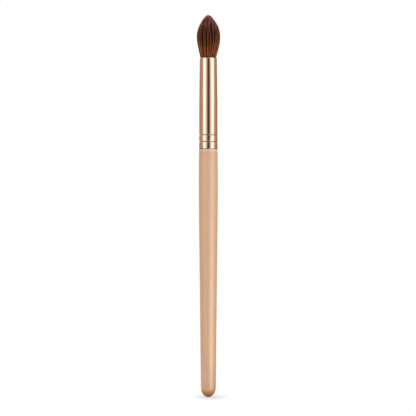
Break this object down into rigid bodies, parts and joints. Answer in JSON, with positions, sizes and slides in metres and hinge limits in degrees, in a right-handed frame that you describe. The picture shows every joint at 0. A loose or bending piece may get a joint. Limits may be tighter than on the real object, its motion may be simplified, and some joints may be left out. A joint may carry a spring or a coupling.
{
  "type": "eyeshadow brush",
  "caption": "Slim round make-up brush: pointed oval hair tuft in a grooved tapered metal ferrule on a long tapered lacquered wood handle with a rounded end.",
  "frame": {"origin": "lowest point of the handle's rounded end, on the brush's axis", "axes": "+Z along the brush's axis from the handle end to the tip of the hair; the brush is round, so +X and +Y are any two directions across it"},
  "size_m": [0.0103, 0.0103, 0.175],
  "materials": {
    "pearl_lacquer": "satin pearl champagne lacquer over turned wood",
    "rose_gold": "polished rose-gold anodising",
    "hair": "fine crimp-free filament, amber at the root and dark brown at the tip",
    "epoxy": "clear amber cast epoxy",
    "adhesive": "cured adhesive film",
    "thread": "waxed cotton thread"
  },
  "bodies": {
    "root": {"handle": "pearl_lacquer", "tenon_glue": "adhesive", "ferrule": "rose_gold", "root_glue": "epoxy", "binding_thread": "thread", "bristle_tuft": "hair"}
  },
  "joints": []
}
